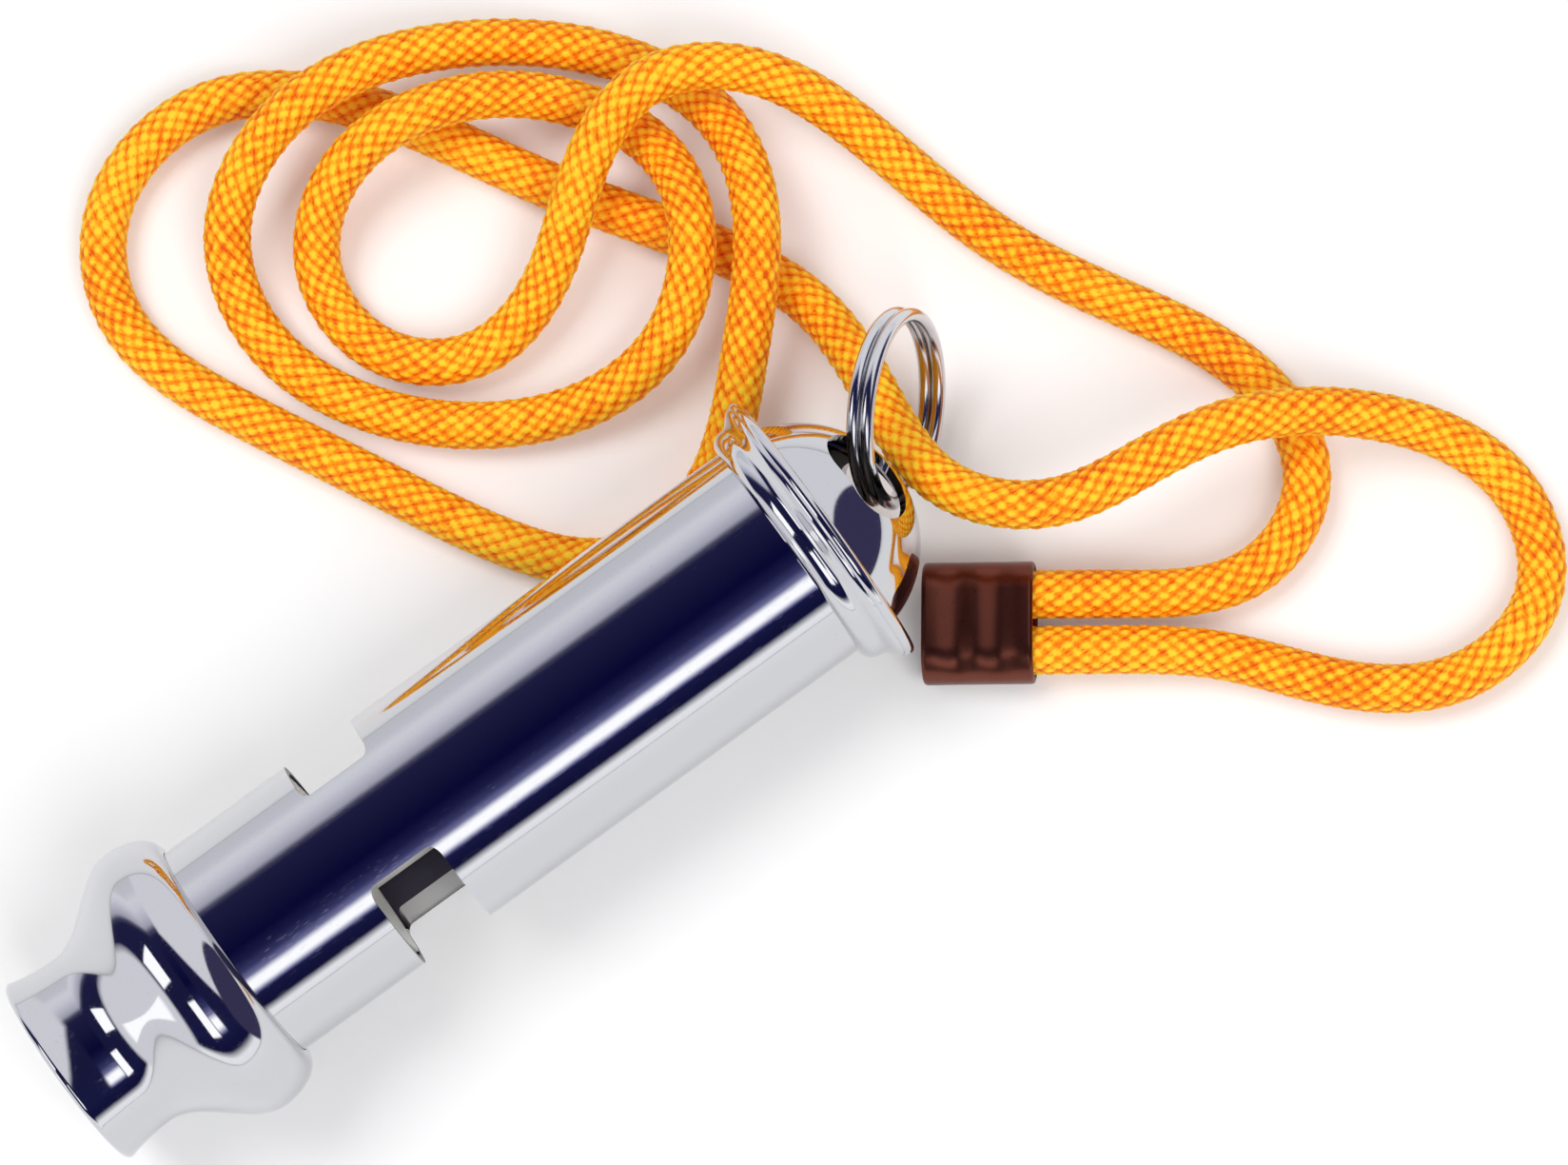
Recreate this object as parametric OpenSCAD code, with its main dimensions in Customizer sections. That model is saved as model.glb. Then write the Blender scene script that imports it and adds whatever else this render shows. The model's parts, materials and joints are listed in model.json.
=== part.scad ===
// Tubular two-tone police whistle with a split ring and a braided lanyard.
// Millimetres. The whistle lies along X on the plane z = 0, mouthpiece towards -X and cap towards +X.
// Its two windows face +Y and -Y, and the ring's holes in the cap face up and down.

/* [Barrel] */
// Outer diameter of the barrel tube
tube_od = 17; // [15:0.5:19]
// Wall of the barrel tube
tube_wall = 0.6; // [0.4:0.1:0.9]
// Length of barrel that shows between mouthpiece and cap
tube_len = 48; // [44:1:60]

/* [Windows] */
// Barrel length from the mouthpiece to the near edge of the windows
window_start = 10.4; // [8:0.2:14]
// Length of each window along the barrel
window_len = 5.7; // [4.5:0.1:8]
// Angle that each window spans to either side of its middle
window_reach = 62; // [50:1:68]
// Corner radius of the windows
window_corner = 0.6; // [0.3:0.1:1.2]

/* [Mouthpiece] */
// Length of the mouthpiece
mouth_len = 14.6; // [13:0.2:18]
// Radius of the lip at the mouth end
lip_r = 7.5; // [7.2:0.1:8.2]
// Rounding of the lip's edges
lip_round = 0.4; // [0.2:0.1:0.5]
// Radius of the narrow waist behind the lip
waist_r = 7; // [6.8:0.1:7.4]
// Distance of the waist from the lip
waist_x = 4; // [3:0.1:6]
// Radius of the bead
bead_r = 10.9; // [10:0.1:12]
// Length of the bead from its crest to the barrel
bead_back = 3.4; // [2:0.1:4]
// Radius of the bore that the mouth blows into
mouth_bore_r = 6.2; // [5:0.1:6.4]
// Depth of the socket that takes the end of the barrel
socket_depth = 4; // [3:0.5:6]

/* [Sound chambers] */
// Thickness of the plate between the two chambers
septum_t = 0.6; // [0.4:0.1:1]
// Height of the windway over each block
windway_h = 1.1; // [0.7:0.1:1.6]
// Distance from the end of the barrel to the blocks
block_inset = 0.5; // [0.2:0.1:1]
// Distance from the left chamber's stop to the cap's spigot
stop_left_back = 8.4; // [6:0.2:14]
// Distance from the right chamber's stop to the cap's spigot
stop_right_back = 2.4; // [1:0.2:5]
// Thickness of the chamber stops
stop_t = 1; // [0.6:0.1:1.5]

/* [Cap] */
// Radius of the rim of the collar
rim_r = 10.9; // [10:0.1:12]
// Thickness of the rim
rim_t = 0.9; // [0.6:0.1:1.2]
// Length of the collar from the barrel to the rim
collar_len = 2.5; // [2:0.1:4]
// Length of the collar's spigot inside the barrel
spigot_len = 3.5; // [2.5:0.5:4]
// Wall of the spigot
spigot_wall = 0.8; // [0.5:0.1:1.2]
// Outer radius of the dome
dome_r = 8.65; // [8.2:0.05:9]
// Distance from the dome's centre to its foot
dome_foot = 2.4; // [2:0.1:3]
// Wall of the dome
dome_wall = 0.6; // [0.4:0.1:0.8]
// Angle between the cap's axis and the middle of each ring hole
hole_angle = 34; // [33:1:36]
// Radius of the round ends of each ring hole
hole_r = 2.75; // [2.6:0.05:2.9]
// Distance from the middle of a ring hole to the centres of its round ends
hole_half = 1; // [0.5:0.1:1.5]

/* [Split ring] */
// Outer diameter of the split ring
ring_od = 14.5; // [14:0.1:16]
// Diameter of the ring's wire
ring_wire = 1; // [0.8:0.05:1.05]
// Depth of the wire's middle below the outside of the dome, under the strip between the holes
ring_depth = 2.25; // [2.2:0.05:2.4]
// Lean of the ring in its holes about the whistle's axis
ring_lean = 18; // [12:1:20]
// Swing of the ring out of the plane of its holes
ring_swing = 42; // [30:1:48]

/* [Lanyard] */
// Diameter of the cord
cord_d = 3.6; // [3:0.1:3.7]
// Length of the ferrule that holds the cord's ends
ferrule_len = 8; // [7:0.5:10]
// Wall of the ferrule
ferrule_wall = 0.6; // [0.4:0.1:0.8]
// Gap between the two ends of cord in the ferrule
ferrule_gap = 0.5; // [0.4:0.1:0.6]

/* [Fits] */
// Gap between each inner piece and the bore that holds it
fit_gap = 0.05; // [0.02:0.01:0.1]

/* [Hidden] */
$fn = 96;
arc_steps = 12;
cut_margin = 1;

tube_r = tube_od / 2;
tube_ir = tube_r - tube_wall;
axis_z = max(bead_r, rim_r);

// Places along the whistle, counted from the lip
barrel_from = mouth_len - socket_depth;
barrel_to = mouth_len + tube_len;
block_from = barrel_from + block_inset;
window_from = mouth_len + window_start;
window_to = window_from + window_len;
spigot_from = barrel_to - spigot_len;
stop_left_to = spigot_from - stop_left_back;
stop_right_to = spigot_from - stop_right_back;
rim_x = barrel_to + collar_len;
collar_to = rim_x + rim_t;
dome_x = collar_to - dome_foot;
bead_x = mouth_len - bead_back;

// Split ring: middle radius, bridge under the strip, and half extents of the ring at rest along X
ring_r = (ring_od - ring_wire) / 2;
ring_turn_gap = 0.02;
ring_offset = (ring_wire - ring_turn_gap) / 2;
bridge_x = dome_x + dome_r - ring_depth;
ring_mid_x = bridge_x + ring_r * cos(ring_swing);
ring_reach_x = ring_r * cos(ring_swing) + ring_offset * sin(ring_swing) + ring_wire / 2;

// The origin lies under the middle of the whistle and ring
lip_x = -(ring_mid_x + ring_reach_x) / 2;

// Ferrule: middle on the ground plane, direction of its open face, and the two cord ends in that face
ferrule_at = [30.6, -10.3];
ferrule_turn = -36;
ferrule_h = cord_d + 2 * ferrule_wall;
strand_offset = (cord_d + ferrule_gap) / 2;
ferrule_dir = [cos(ferrule_turn), sin(ferrule_turn), 0];
ferrule_side = [-sin(ferrule_turn), cos(ferrule_turn), 0];
ferrule_face = [ferrule_at[0], ferrule_at[1], ferrule_h / 2] + ferrule_dir * ferrule_len / 2;
cord_start = ferrule_face - ferrule_side * strand_offset;
cord_end = ferrule_face + ferrule_side * strand_offset;
lead = 5.5;

// Height of the cord's middle where it lies on the ground
lie = 1.85;
// Route of the cord from one end in the ferrule, round the free loop, through the ring, through the tangle and back
route = [
    cord_start, cord_start + ferrule_dir * lead,
    [43.5, -22.2, lie], [48, -29, lie], [55, -35, lie], [65.2, -33.6, lie], [68.4, -23.2, lie],
    [62, -14.6, 4.4], [54, -10.2, 8.2], [46.3, -9.4, 9.4], [38.9, -8.8, 9.6], [32.9, -2, 8.6],
    [34.3, 7, 6], [35.5, 16.5, 2.2], [31, 25.5, lie], [25.5, 33.5, lie], [21, 42, lie], [16.5, 50.5, lie],
    [8, 58, lie], [-3.5, 56, lie], [-8.5, 46, lie], [-4, 35.5, lie], [1, 26, lie], [5.5, 16.5, lie],
    [11.5, 8, lie], [21.5, 9, lie], [28.5, 15.5, 5.4], [35.5, 22, 8.2], [38.6, 33, 2.4], [33, 43.4, lie],
    [22.5, 49.8, 5.2], [12, 51.5, 7.2], [2, 47.5, 4.6], [-0.4, 37, lie], [6, 26, lie], [16, 19.6, lie],
    [25.5, 19, 5], [32.2, 25.6, 7.8], [32.8, 35, 2], [27.4, 42.3, 4], [19.5, 45, 7.6], [12, 45.6, 5],
    [6, 41.2, 2.2], [6.2, 32.4, lie], [13, 27, lie], [21, 29, 4], [27, 34, 7.2], [35, 37, 8.6],
    [43, 31.5, 6.4], [46, 21.5, 2.4], [48, 12, lie], [52.4, 3.4, lie], [57.6, -5.6, lie],
    [57.6, -16.2, lie], [48, -20.6, lie],
    cord_end + ferrule_dir * lead, cord_end
];
cord_sides = 8;
cord_rings = 84;

// Points of an arc about a centre, from one angle to another
function arc(centre, r, from, to) =
    [for (i = [0 : arc_steps]) let (a = from + (to - from) * i / arc_steps) centre + r * [cos(a), sin(a)]];

// Points of a smooth half wave between two points of a profile, without its first point
function wave(a, b) =
    [for (i = [1 : arc_steps]) let (s = i / arc_steps)
        [a[0] + (b[0] - a[0]) * s, a[1] + (b[1] - a[1]) * (1 - cos(180 * s)) / 2]];

// Points of a flare that runs out flat at its second point, without its first point
function flare(a, b) =
    [for (i = [1 : arc_steps]) let (s = i / arc_steps)
        [a[0] + (b[0] - a[0]) * s, b[1] + (a[1] - b[1]) * (1 - s) * (1 - s)]];

// Point of a cubic B-spline step between four control points
function spline_point(a, b, c, d, t) =
    (pow(1 - t, 3) * a + (3 * pow(t, 3) - 6 * t * t + 4) * b + (1 + 3 * t + 3 * t * t - 3 * pow(t, 3)) * c
    + pow(t, 3) * d) / 6;

// Control points with one more at each end, so that the curve starts and ends on the given points
function with_ends(p) = concat([2 * p[0] - p[1]], p, [2 * p[len(p) - 1] - p[len(p) - 2]]);

// A number of points along the route
function spline(p, count) = let (q = with_ends(p), steps = len(p) - 1)
    [for (k = [0 : count - 1]) let (s = steps * k / (count - 1), i = min(floor(s), steps - 1))
        spline_point(q[i], q[i + 1], q[i + 2], q[i + 3], s - i)];

// Points on the straight pieces of a path, a number for each piece
function on_pieces(p, parts) =
    [for (i = [0 : len(p) - 2], k = [0 : parts - 1]) p[i] + (p[i + 1] - p[i]) * k / parts];

// Least distance between points of a path that are a number of steps apart or more
function self_distance(p, apart) =
    min([for (i = [0 : len(p) - 1 - apart]) min([for (j = [i + apart : len(p) - 1]) norm(p[i] - p[j])])]);

// Direction of a path at one of its points
function heading(p, i) = let (d = p[min(i + 1, len(p) - 1)] - p[max(i - 1, 0)]) d / norm(d);

// One round section of a tube across a heading
function section(at, dir, r, sides) = let (side = cross(dir, [0, 0, 1]) / norm(cross(dir, [0, 0, 1])),
                                           up = cross(side, dir))
    [for (k = [0 : sides - 1]) let (a = 360 * (k + 0.5) / sides) at + r * (cos(a) * side + sin(a) * up)];

// A round tube along a path, closed at both ends
module tube_along(path, r, sides) {
    last = len(path) - 1;
    points = [for (i = [0 : last]) each section(path[i], heading(path, i), r, sides)];
    walls = [for (i = [0 : last - 1], k = [0 : sides - 1])
        let (a = i * sides + k, b = i * sides + (k + 1) % sides)
        each [[a, b, a + sides], [b, b + sides, a + sides]]];
    first_end = [for (k = [1 : sides - 2]) [0, k + 1, k]];
    last_end = [for (k = [1 : sides - 2]) [last * sides, last * sides + k, last * sides + k + 1]];
    polyhedron(points = points, faces = concat(walls, first_end, last_end));
}

// Stands a shape that was turned about Z along the whistle's axis
module along_axis() {
    translate([lip_x, 0, axis_z]) rotate([0, 90, 0]) children();
}

// A solid turned about the whistle's axis from a profile of [place, radius] points
module turned(profile) {
    along_axis() rotate_extrude() polygon([for (p = profile) [p[1], p[0]]]);
}

// A flat round-cornered cutter of a window, straight outwards on one side
module window_cutter(side) {
    half_w = tube_r * sin(window_reach);
    deep = tube_ir * cos(window_reach) / 2;
    reach = tube_r + cut_margin - deep;
    for (x = [window_from + window_corner, window_to - window_corner], z = [-1, 1])
        translate([lip_x + x, side * deep, axis_z + z * (half_w - window_corner)])
            rotate([-90 * side, 0, 0]) cylinder(r = window_corner, h = reach, $fn = 32);
    middle_y = side * (deep + reach / 2);
    middle_x = lip_x + (window_from + window_to) / 2;
    translate([middle_x, middle_y, axis_z]) cube([window_len - 2 * window_corner, reach, 2 * half_w], center = true);
    translate([middle_x, middle_y, axis_z]) cube([window_len, reach, 2 * (half_w - window_corner)], center = true);
}

// Half of the barrel's bore on one side of the septum, out to a flat, between two places
module half_bore(side, from, to, flat_y) {
    low_y = septum_t / 2;
    size_y = flat_y - low_y;
    intersection() {
        along_axis() translate([0, 0, from]) cylinder(r = tube_ir - fit_gap, h = to - from);
        translate([lip_x + (from + to) / 2, side * (low_y + size_y / 2), axis_z])
            cube([to - from + cut_margin, size_y, 2 * tube_r], center = true);
    }
}

module barrel() {
    color("silver") difference() {
        turned([[barrel_from, tube_ir], [barrel_from, tube_r], [barrel_to, tube_r], [barrel_to, tube_ir]]);
        window_cutter(1);
        window_cutter(-1);
    }
}

module mouthpiece() {
    socket_r = tube_r + fit_gap;
    color("silver") turned(concat(
        [[lip_round, mouth_bore_r], [0, mouth_bore_r + lip_round]],
        arc([lip_round, lip_r - lip_round], lip_round, 180, 90),
        flare([lip_round, lip_r], [waist_x, waist_r]),
        wave([waist_x, waist_r], [bead_x, bead_r]),
        [for (i = [1 : arc_steps]) let (a = 90 * i / arc_steps)
            [bead_x + bead_back * sin(a), socket_r + lip_round + (bead_r - socket_r - lip_round) * cos(a)]],
        [[mouth_len, socket_r], [barrel_from, socket_r], [barrel_from, mouth_bore_r]]
    ));
}

module windway_block_left() {
    color("dimgray") half_bore(1, block_from, window_from, tube_ir - windway_h);
}

module windway_block_right() {
    color("dimgray") half_bore(-1, block_from, window_from, tube_ir - windway_h);
}

module septum() {
    half_h = sqrt(pow(tube_ir, 2) - pow(septum_t / 2, 2)) - fit_gap;
    long = spigot_from - fit_gap - block_from;
    color("gray") translate([lip_x + block_from + long / 2, 0, axis_z])
        cube([long, septum_t, 2 * half_h], center = true);
}

module chamber_stop_left() {
    color("gray") half_bore(1, stop_left_to - stop_t, stop_left_to, tube_r);
}

module chamber_stop_right() {
    color("gray") half_bore(-1, stop_right_to - stop_t, stop_right_to, tube_r);
}

module cap_collar() {
    spigot_r = tube_ir - fit_gap;
    bore_r = spigot_r - spigot_wall;
    edge = rim_t / 2;
    shoulder_x = barrel_to + collar_len / 2;
    shoulder_r = tube_r + (rim_r - tube_r) / 2;
    color("silver") turned(concat(
        [[spigot_from, bore_r], [spigot_from, spigot_r], [barrel_to, spigot_r], [barrel_to, tube_r + fit_gap]],
        [for (i = [1 : arc_steps]) let (a = 90 * i / arc_steps)
            [barrel_to + (shoulder_x - barrel_to) * (1 - cos(a)), tube_r + (shoulder_r - tube_r) * sin(a)]],
        wave([shoulder_x, shoulder_r], [rim_x, rim_r - edge / 2]),
        arc([rim_x + edge, rim_r - edge], edge, 150, 0),
        [[collar_to, bore_r]]
    ));
}

module ring_hole(up) {
    translate([lip_x + dome_x, 0, axis_z]) rotate([0, up > 0 ? 90 - hole_angle : 90 + hole_angle, 0]) {
        for (y = [-1, 1]) translate([0, y * hole_half, 0]) cylinder(r = hole_r, h = dome_r + cut_margin);
        translate([-hole_r, -hole_half, 0]) cube([2 * hole_r, 2 * hole_half, dome_r + cut_margin]);
    }
}

module cap_dome() {
    color("silver") difference() {
        translate([lip_x + dome_x, 0, axis_z]) sphere(r = dome_r);
        translate([lip_x + dome_x, 0, axis_z]) sphere(r = dome_r - dome_wall);
        translate([lip_x + collar_to - 2 * dome_r, -dome_r - cut_margin, axis_z - dome_r - cut_margin])
            cube([2 * dome_r, 2 * (dome_r + cut_margin), 2 * (dome_r + cut_margin)]);
        ring_hole(1);
        ring_hole(-1);
    }
}

module split_ring() {
    color("lightgray") translate([lip_x + bridge_x, 0, axis_z]) rotate([-ring_lean, 0, 0]) rotate([0, 0, ring_swing])
        translate([ring_r, 0, 0]) rotate([90, 0, 0])
            rotate_extrude() for (turn = [-1, 1])
                translate([ring_r, turn * ring_offset]) circle(d = ring_wire, $fn = 32);
}

module lanyard_cord() {
    path = spline(route, cord_rings);
    echo(least_gap_of_cord_to_itself = self_distance(on_pieces(path, 4), 8) - cord_d);
    color("orange") tube_along(path, cord_d / 2, cord_sides);
}

module lanyard_ferrule() {
    color("saddlebrown") translate([ferrule_at[0], ferrule_at[1], ferrule_h / 2]) rotate([0, 0, ferrule_turn]) {
        for (y = [-1, 1]) translate([-ferrule_len / 2, y * strand_offset, 0]) rotate([0, 90, 0])
            cylinder(d = ferrule_h, h = ferrule_len);
        cube([ferrule_len, 2 * strand_offset, ferrule_h], center = true);
    }
}

barrel();
mouthpiece();
windway_block_left();
windway_block_right();
septum();
chamber_stop_left();
chamber_stop_right();
cap_collar();
cap_dome();
split_ring();
lanyard_cord();
lanyard_ferrule();
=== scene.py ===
"""Looks of a chrome police whistle with its split ring and braided lanyard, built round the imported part."""

import json
import logging
import math
from collections.abc import Callable, Sequence
from dataclasses import dataclass
from enum import Enum

import bmesh
import bpy
import numpy as np
from bpy.types import ID, Material, Mesh, Node, NodeSocket, NodeTree, Object, ShaderNodeTree
from mathutils import Matrix, Vector


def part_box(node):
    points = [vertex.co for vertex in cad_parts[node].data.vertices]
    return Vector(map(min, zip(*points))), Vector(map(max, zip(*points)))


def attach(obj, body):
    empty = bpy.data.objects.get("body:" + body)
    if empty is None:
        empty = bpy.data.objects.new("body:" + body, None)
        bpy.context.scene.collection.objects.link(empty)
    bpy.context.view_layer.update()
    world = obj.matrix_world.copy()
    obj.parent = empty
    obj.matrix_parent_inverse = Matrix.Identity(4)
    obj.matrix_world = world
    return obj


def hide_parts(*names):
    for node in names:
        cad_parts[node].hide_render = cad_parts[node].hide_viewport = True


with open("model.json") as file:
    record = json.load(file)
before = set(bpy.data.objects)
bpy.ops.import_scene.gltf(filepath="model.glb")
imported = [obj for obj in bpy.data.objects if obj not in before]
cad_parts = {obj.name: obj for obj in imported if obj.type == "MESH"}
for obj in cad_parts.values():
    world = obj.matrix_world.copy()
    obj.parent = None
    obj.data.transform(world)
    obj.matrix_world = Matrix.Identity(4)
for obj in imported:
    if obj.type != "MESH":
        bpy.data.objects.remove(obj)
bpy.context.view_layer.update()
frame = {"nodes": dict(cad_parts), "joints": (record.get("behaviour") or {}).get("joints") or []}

LOG = logging.getLogger("whistle")
MM = 0.001
ALONG = Vector((1, 0, 0))
Pair = tuple[float, float]
Triple = tuple[float, float, float]
Colour = tuple[float, float, float, float]
Outline = list[Pair]


class Body(str, Enum):
    """Moving bodies of the part."""

    WHISTLE = "whistle"
    RING = "ring"


class Slot(str, Enum):
    """Material slots of the record."""

    CHROME = "polished_chrome"
    RING = "ring_steel"
    CORD = "cord_braid"
    FERRULE = "ferrule_bronze"


# Mesh tools


def new_object(name: str, data: ID) -> Object:
    """Puts a mesh, a lamp or a camera into the scene as an object.

    Args:
        name: Name of the object.
        data: The mesh, lamp or camera.

    Returns:
        The new object.
    """
    thing = bpy.data.objects.new(name, data)
    bpy.context.scene.collection.objects.link(thing)
    return thing


def mesh_from(name: str, points: Sequence, faces: Sequence) -> Mesh:
    """Makes a closed mesh with outward faces.

    Args:
        name: Name of the mesh.
        points: Corner points in metres.
        faces: Corner numbers of each face.

    Returns:
        The mesh.
    """
    mesh = bpy.data.meshes.new(name)
    mesh.from_pydata([tuple(p) for p in points], [], [tuple(f) for f in faces])
    work = bmesh.new()
    work.from_mesh(mesh)
    bmesh.ops.recalc_face_normals(work, faces=work.faces)
    work.to_mesh(mesh)
    work.free()
    return mesh


def smooth(mesh: Mesh, crease_deg: float = 34.0) -> None:
    """Shades a mesh smooth, with sharp edges past an angle in degrees."""
    mesh.polygons.foreach_set("use_smooth", [True] * len(mesh.polygons))
    mesh.set_sharp_from_angle(angle=math.radians(crease_deg))


def arc(centre: Pair, r: float, start: float, end: float, steps: int = 12) -> Outline:
    """Points of an arc from one angle to another, in degrees, both ends among them."""
    turns = [math.radians(start + (end - start) * i / steps) for i in range(steps + 1)]
    return [(centre[0] + r * math.cos(t), centre[1] + r * math.sin(t)) for t in turns]


def wave(a: Pair, b: Pair, steps: int = 40) -> Outline:
    """Points of a half cosine wave between two points of a profile, without the first."""
    shares = [(i + 1) / steps for i in range(steps)]
    return [
        (a[0] + (b[0] - a[0]) * s, a[1] + (b[1] - a[1]) * (1 - math.cos(math.pi * s)) / 2) for s in shares
    ]


def flare(a: Pair, b: Pair, steps: int = 40) -> Outline:
    """Points of a flare that runs out flat at its second point, without the first."""
    shares = [(i + 1) / steps for i in range(steps)]
    return [(a[0] + (b[0] - a[0]) * s, b[1] + (a[1] - b[1]) * (1 - s) ** 2) for s in shares]


def oval(half: float, r: float, steps: int) -> Outline:
    """Outline of a slot whose round ends have their centres to either side of its middle."""
    return arc((half, 0), r, -90, 90, steps) + arc((-half, 0), r, 90, 270, steps)


def quarter(steps: int) -> list[float]:
    """Angles of a quarter turn in radians, without the first."""
    return [math.pi / 2 * (i + 1) / steps for i in range(steps)]


def grid_faces(rows: int, columns: int, closed: bool) -> list[tuple[int, ...]]:
    """Quads between rows of points, each row a closed loop.

    Args:
        rows: Number of rows.
        columns: Number of points in a row.
        closed: Whether the last row joins the first.

    Returns:
        Corner numbers of each quad.
    """
    return [
        (i * columns + k, i * columns + (k + 1) % columns,
         (i + 1) % rows * columns + (k + 1) % columns, (i + 1) % rows * columns + k)
        for i in range(rows if closed else rows - 1) for k in range(columns)
    ]


def tube_faces(rows: int, columns: int) -> list[tuple[int, ...]]:
    """Faces of a tube of closed rows of points, both ends among them."""
    ends = [tuple(range(columns)), tuple(range((rows - 1) * columns, rows * columns))]
    return grid_faces(rows, columns, False) + ends


@dataclass
class Axis:
    """The whistle's long axis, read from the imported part.

    Attributes:
        lip_x: Place of the lip's end.
        z: Height of the axis.
    """

    lip_x: float
    z: float

    @classmethod
    def of_part(cls) -> "Axis":
        """Reads the axis from the mouthpiece's box."""
        low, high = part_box("mouthpiece")
        return cls(low.x, (low.z + high.z) / 2)

    def turned(self, name: str, profile: Outline, segments: int = 192) -> Mesh:
        """Turns a closed profile about the axis.

        Args:
            name: Name of the mesh.
            profile: Points (place from the lip, radius) in metres.
            segments: Steps round the axis.

        Returns:
            The turned mesh.
        """
        angles = [2 * math.pi * k / segments for k in range(segments)]
        points = [
            (self.lip_x + x, r * math.cos(a), self.z + r * math.sin(a)) for x, r in profile for a in angles
        ]
        return mesh_from(name, points, grid_faces(len(profile), segments, True))


def prism(name: str, outline: Outline, at: Vector, u: Vector, v: Vector, depth: float) -> Object:
    """A straight solid over a flat outline, used to cut holes.

    Args:
        name: Name of the cutter.
        outline: Points in the plane of u and v.
        at: Origin of that plane.
        u: First direction of the plane.
        v: Second direction of the plane.
        depth: How far the solid reaches, square to the plane.

    Returns:
        The cutter, which is removed once it has cut.
    """
    along = u.cross(v)
    count = len(outline)
    low = [at + u * a + v * b for a, b in outline]
    points = low + [p + along * depth for p in low]
    sides = [(k, (k + 1) % count, (k + 1) % count + count, k + count) for k in range(count)]
    faces = sides + [tuple(range(count)), tuple(range(count, 2 * count))]
    return new_object(name, mesh_from(name, points, faces))


def cut(thing: Object, cutters: Sequence[Object], edge: float) -> None:
    """Cuts holes into a piece and eases all its sharp edges a little.

    Args:
        thing: The piece.
        cutters: What is taken away, removed afterwards.
        edge: Width of the eased edges.
    """
    for cutter in cutters:
        step = thing.modifiers.new("cut", "BOOLEAN")
        step.operation = "DIFFERENCE"
        step.solver = "EXACT"
        step.object = cutter
    ease = thing.modifiers.new("ease", "BEVEL")
    ease.width = edge
    ease.segments = 2
    ease.limit_method = "ANGLE"
    ease.angle_limit = math.radians(50)
    graph = bpy.context.evaluated_depsgraph_get()
    result = bpy.data.meshes.new_from_object(thing.evaluated_get(graph))
    old = thing.data
    thing.modifiers.clear()
    thing.data = result
    result.name = thing.name
    bpy.data.meshes.remove(old)
    for cutter in cutters:
        bpy.data.objects.remove(cutter)


def shade_to_form(mesh: Mesh, out: Callable[[Vector], Vector], radii: Sequence[float]) -> None:
    """Gives a thin shell the exact normals of its round faces.

    Args:
        mesh: The shell's mesh.
        out: Outward offset of a point from the shell's axis or centre.
        radii: Outer and inner radius of the shell.
    """
    mesh.polygons.foreach_set("use_smooth", [True] * len(mesh.polygons))
    slack = 0.004 * MM
    normals: list[Triple] = [(0.0, 0.0, 1.0)] * len(mesh.loops)
    for face in mesh.polygons:
        flat = face.normal.copy()
        for loop in face.loop_indices:
            offset = out(mesh.vertices[mesh.loops[loop].vertex_index].co)
            size = offset.length
            normal = flat
            for r, sign in zip(radii, (1.0, -1.0)):
                radial = offset * (sign / size)
                if abs(size - r) < slack and radial.dot(flat) > 0.9:
                    normal = radial
            normals[loop] = tuple(normal)
    mesh.normals_split_custom_set(normals)


def dress(thing: Object, material: Material, slot: Slot, body: Body, *nodes: str) -> None:
    """Gives a piece its finish, its body and the nodes that it stands for.

    Args:
        thing: The piece.
        material: Its finish.
        slot: The record's slot for that finish; not used.
        body: The body that it rides on.
        nodes: The nodes that it replaces.
    """
    thing.data.materials.append(material)
    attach(thing, body.value)
    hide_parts(*nodes)
    LOG.info("%s rides on %s", thing.name, body.value)


# Finishes


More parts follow.
